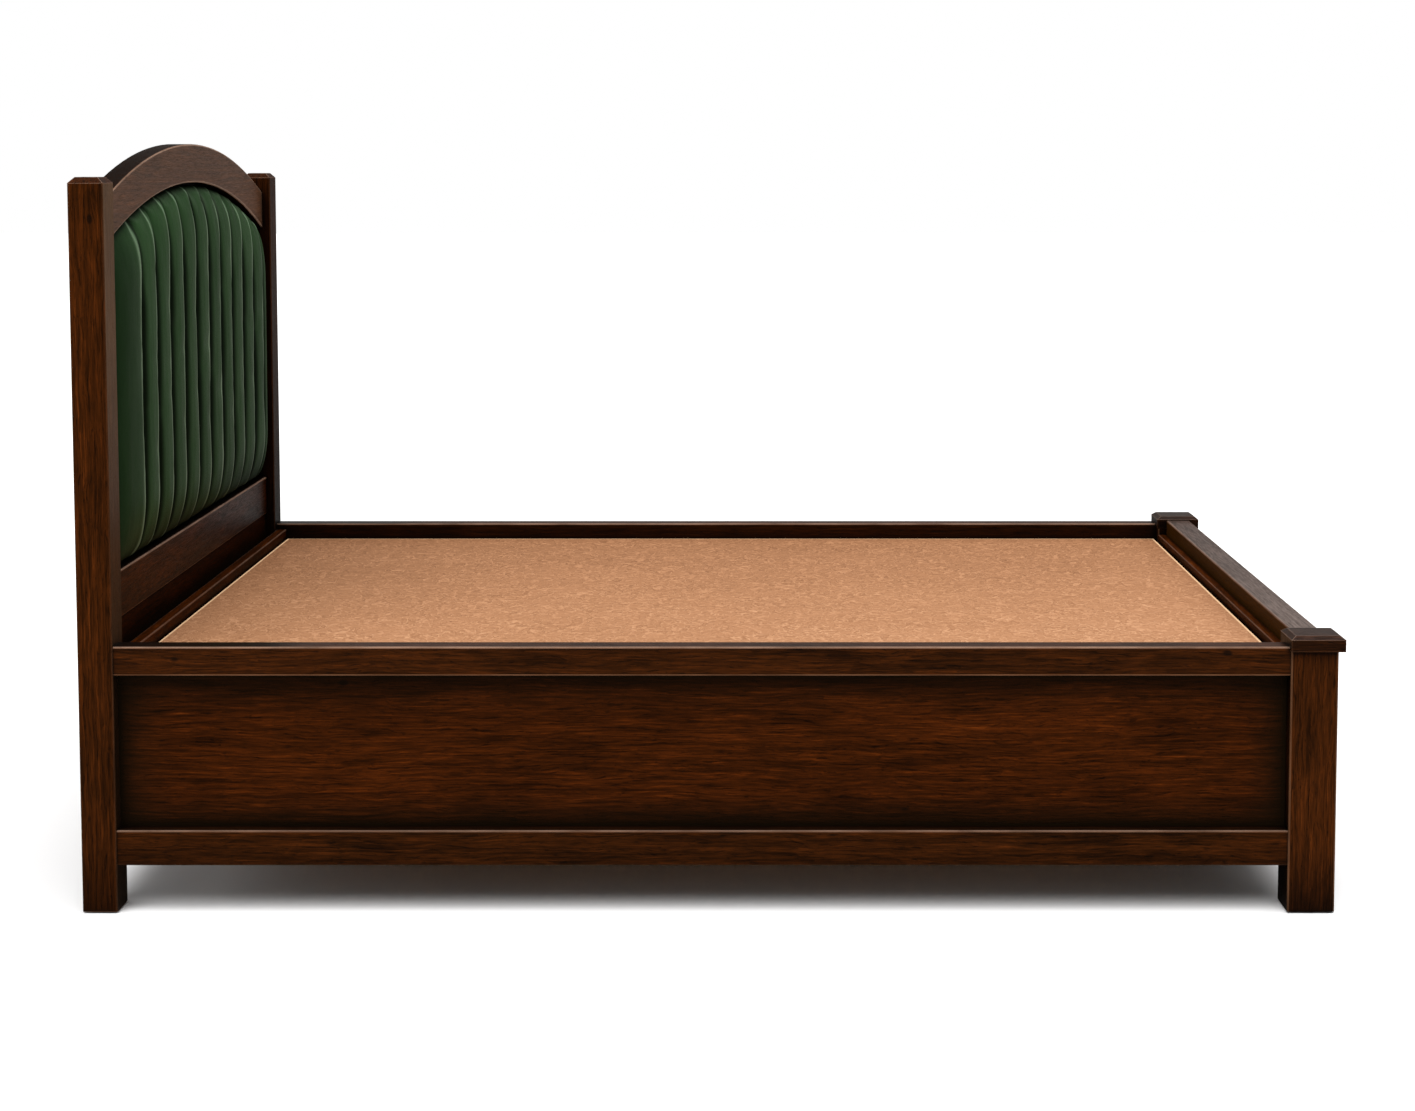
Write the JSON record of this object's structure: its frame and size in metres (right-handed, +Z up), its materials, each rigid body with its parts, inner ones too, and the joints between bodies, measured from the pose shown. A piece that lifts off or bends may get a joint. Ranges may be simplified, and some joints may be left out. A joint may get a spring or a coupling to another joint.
{
  "type": "bed frame",
  "caption": "Double bed frame with framed side panels, capped foot posts, a loose deck board, and a tall headboard with an arched crest rail over a channelled leather pad.",
  "frame": {"origin": "on the floor, at the middle of the bed's footprint", "axes": "+X from the headboard to the foot end, +Y across the bed to the right side as seen from the foot end, +Z up"},
  "size_m": [2.148, 1.528, 1.314],
  "materials": {
    "wood_dark": "dark walnut stain under satin lacquer, grain along each member",
    "wood_panel": "dark walnut veneer under satin lacquer",
    "pine_raw": "planed, unfinished softwood",
    "plywood": "unfinished plywood",
    "beech": "unfinished fluted dowel",
    "deck_board": "fine-grained tan board, matt, with a lighter edge",
    "leather_green": "smooth dark green leather, satin",
    "foam": "upholstery foam",
    "zinc_steel": "zinc plated",
    "felt": "dense dark felt on a nail"
  },
  "bodies": {
    "frame": {"head_post_left": "wood_dark", "head_post_right": "wood_dark", "crest_rail": "wood_dark", "head_mid_rail": "wood_dark", "head_bottom_rail": "wood_dark", "head_lower_panel": "wood_panel", "head_cleat": "pine_raw", "head_batten": "wood_dark", "headboard_back_panel": "wood_panel", "pad_board": "plywood", "pad_foam": "foam", "pad_leather": "leather_green", "foot_post_left": "wood_dark", "foot_post_right": "wood_dark", "foot_cap_left": "wood_dark", "foot_cap_right": "wood_dark", "foot_top_rail": "wood_dark", "foot_panel": "wood_panel", "foot_bottom_rail": "wood_dark", "foot_cleat": "pine_raw", "foot_batten": "wood_dark", "side_top_rail_left": "wood_dark", "side_top_rail_right": "wood_dark", "side_panel_left": "wood_panel", "side_panel_right": "wood_panel", "side_bottom_rail_left": "wood_dark", "side_bottom_rail_right": "wood_dark", "side_ledger_left": "pine_raw", "side_ledger_right": "pine_raw", "centre_beam": "pine_raw", "centre_leg_head": "pine_raw", "centre_leg_foot": "pine_raw", "beam_hanger_head": "zinc_steel", "beam_hanger_foot": "zinc_steel", "bearer_1": "pine_raw", "bearer_2": "pine_raw", "bearer_3": "pine_raw", "bearer_4": "pine_raw", "bearer_5": "pine_raw", "bearer_6": "pine_raw", "bearer_7": "pine_raw", "bed_bolts": "zinc_steel", "barrel_nuts": "zinc_steel", "bolt_plugs": "wood_dark", "frame_dowels": "beech", "cap_dowels": "beech", "leg_studs": "zinc_steel", "bearer_screws": "zinc_steel", "ledger_screws": "zinc_steel", "batten_screws": "zinc_steel", "pad_screws": "zinc_steel", "hanger_screws": "zinc_steel", "floor_glides": "felt"},
    "deck": {"deck_board": "deck_board"}
  },
  "joints": [
    {"name": "deck_lift", "type": "slide", "parent": "frame", "child": "deck", "axis": [0, 0, 1], "range_m": [0, 0.3]}
  ]
}
